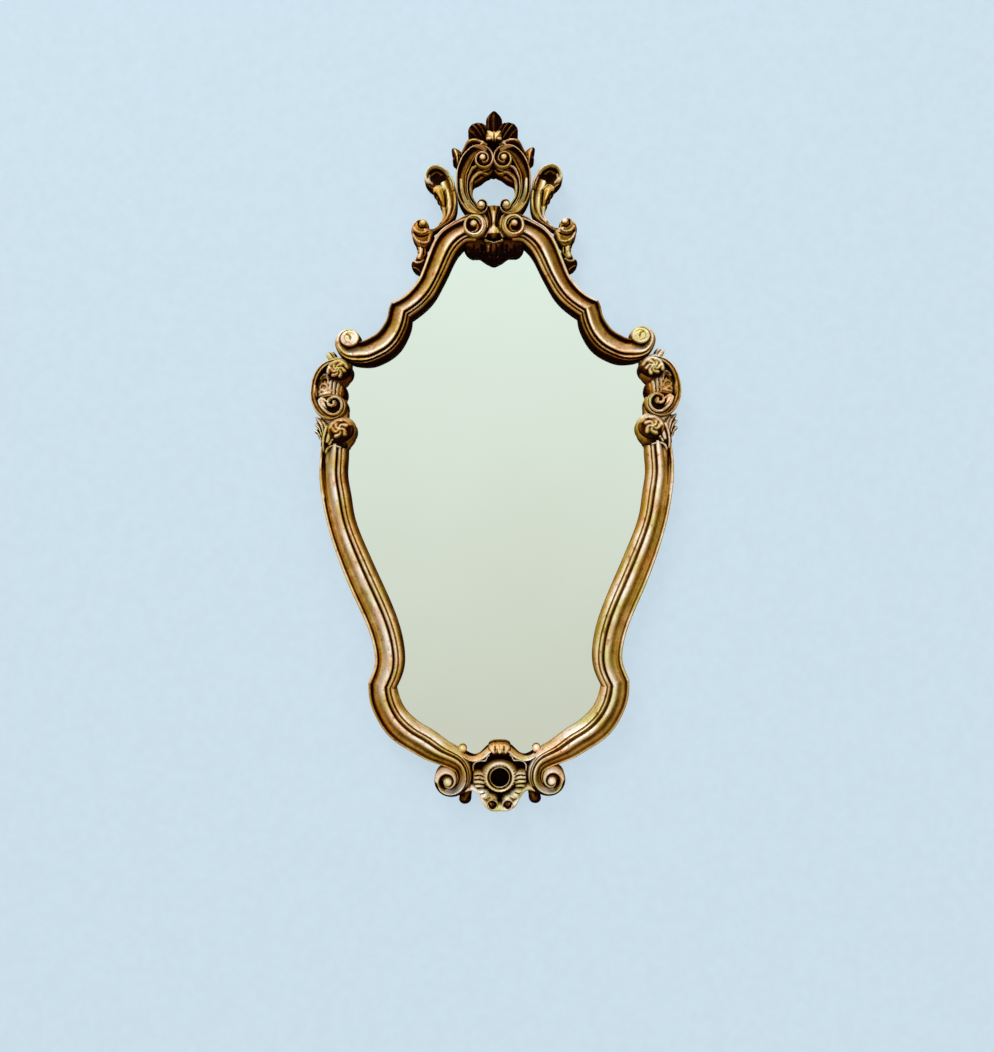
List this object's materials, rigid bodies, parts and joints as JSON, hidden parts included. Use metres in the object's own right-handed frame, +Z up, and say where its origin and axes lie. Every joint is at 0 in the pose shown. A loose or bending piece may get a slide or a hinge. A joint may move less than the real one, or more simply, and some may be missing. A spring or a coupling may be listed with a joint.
{
  "type": "baroque mirror",
  "caption": "Wall mirror with a shaped glass in a carved gilt wood frame: pierced crest, scrolled shoulders and sides, base cartouche; hung by two ring hangers.",
  "frame": {"origin": "on the centre line, on the flat back of the frame and back board, level with the hinge axes of the two hanger rings", "axes": "+Z up, +Y from the carved front towards the wall, +X to the right when looking at the front"},
  "size_m": [0.4724, 0.0495, 0.875],
  "materials": {
    "gilded_wood": "aged gold leaf over red-brown bole",
    "mirror_glass": "silvered glass, polished",
    "back_board": "stained thin board",
    "plain_wood": "bare aged softwood",
    "hanger_brass": "dull brass",
    "button_steel": "zinc plated",
    "screw_steel": "zinc plated",
    "bumper_rubber": "matt black"
  },
  "bodies": {
    "frame": {"upper_rail_left": "gilded_wood", "upper_rail_right": "gilded_wood", "shoulder_rail_left": "gilded_wood", "shoulder_rail_right": "gilded_wood", "side_rail_left": "gilded_wood", "side_rail_right": "gilded_wood", "base_rail_left": "gilded_wood", "base_rail_right": "gilded_wood", "side_cartouche_left": "gilded_wood", "side_cartouche_right": "gilded_wood", "crest_scroll_left": "gilded_wood", "crest_scroll_right": "gilded_wood", "outer_scroll_left": "gilded_wood", "outer_scroll_right": "gilded_wood", "leaf_scroll_left": "gilded_wood", "leaf_scroll_right": "gilded_wood", "crest_shell": "gilded_wood", "keystone": "gilded_wood", "apron": "gilded_wood", "rosette": "gilded_wood", "base_cartouche": "gilded_wood", "joint_dowels": "plain_wood", "back_board": "back_board", "mirror_glass": "mirror_glass", "crest_batten": "plain_wood", "top_batten": "plain_wood", "base_batten": "plain_wood", "batten_screws": "screw_steel", "hanger_screws": "screw_steel", "turn_button_screws": "screw_steel", "hanger_strap_left": "hanger_brass", "hanger_strap_right": "hanger_brass", "wall_bumpers": "bumper_rubber", "glass_pads": "bumper_rubber"},
    "ring_left": {"hanger_ring_left": "hanger_brass"},
    "ring_right": {"hanger_ring_right": "hanger_brass"},
    "button_upper_left": {"turn_button_upper_left": "button_steel"},
    "button_upper_right": {"turn_button_upper_right": "button_steel"},
    "button_side_left": {"turn_button_side_left": "button_steel"},
    "button_side_right": {"turn_button_side_right": "button_steel"},
    "button_lower_left": {"turn_button_lower_left": "button_steel"},
    "button_lower_right": {"turn_button_lower_right": "button_steel"},
    "button_base_left": {"turn_button_base_left": "button_steel"},
    "button_base_right": {"turn_button_base_right": "button_steel"}
  },
  "joints": [
    {"name": "ring_left_hinge", "type": "hinge", "parent": "frame", "child": "ring_left", "pos_m": [-0.21619, 0.0029, 0], "axis": [-1, 0, 0], "range_deg": [0, 180]},
    {"name": "ring_right_hinge", "type": "hinge", "parent": "frame", "child": "ring_right", "pos_m": [0.21619, 0.0029, 0], "axis": [-1, 0, 0], "range_deg": [0, 180]},
    {"name": "button_upper_left_turn", "type": "hinge", "parent": "frame", "child": "button_upper_left", "pos_m": [-0.07555, 0, 0.13712], "axis": [0, 1, 0], "range_deg": [-90, 90]},
    {"name": "button_upper_right_turn", "type": "hinge", "parent": "frame", "child": "button_upper_right", "pos_m": [0.07555, 0, 0.13712], "axis": [0, 1, 0], "range_deg": [-90, 90]},
    {"name": "button_side_left_turn", "type": "hinge", "parent": "frame", "child": "button_side_left", "pos_m": [-0.20771, 0, -0.10726], "axis": [0, 1, 0], "range_deg": [-90, 90]},
    {"name": "button_side_right_turn", "type": "hinge", "parent": "frame", "child": "button_side_right", "pos_m": [0.20771, 0, -0.10726], "axis": [0, 1, 0], "range_deg": [-90, 90]},
    {"name": "button_lower_left_turn", "type": "hinge", "parent": "frame", "child": "button_lower_left", "pos_m": [-0.15554, 0, -0.28593], "axis": [0, 1, 0], "range_deg": [-90, 90]},
    {"name": "button_lower_right_turn", "type": "hinge", "parent": "frame", "child": "button_lower_right", "pos_m": [0.15554, 0, -0.28593], "axis": [0, 1, 0], "range_deg": [-90, 90]},
    {"name": "button_base_left_turn", "type": "hinge", "parent": "frame", "child": "button_base_left", "pos_m": [-0.13412, 0, -0.42593], "axis": [0, 1, 0], "range_deg": [-90, 90]},
    {"name": "button_base_right_turn", "type": "hinge", "parent": "frame", "child": "button_base_right", "pos_m": [0.13412, 0, -0.42593], "axis": [0, 1, 0], "range_deg": [-90, 90]}
  ]
}
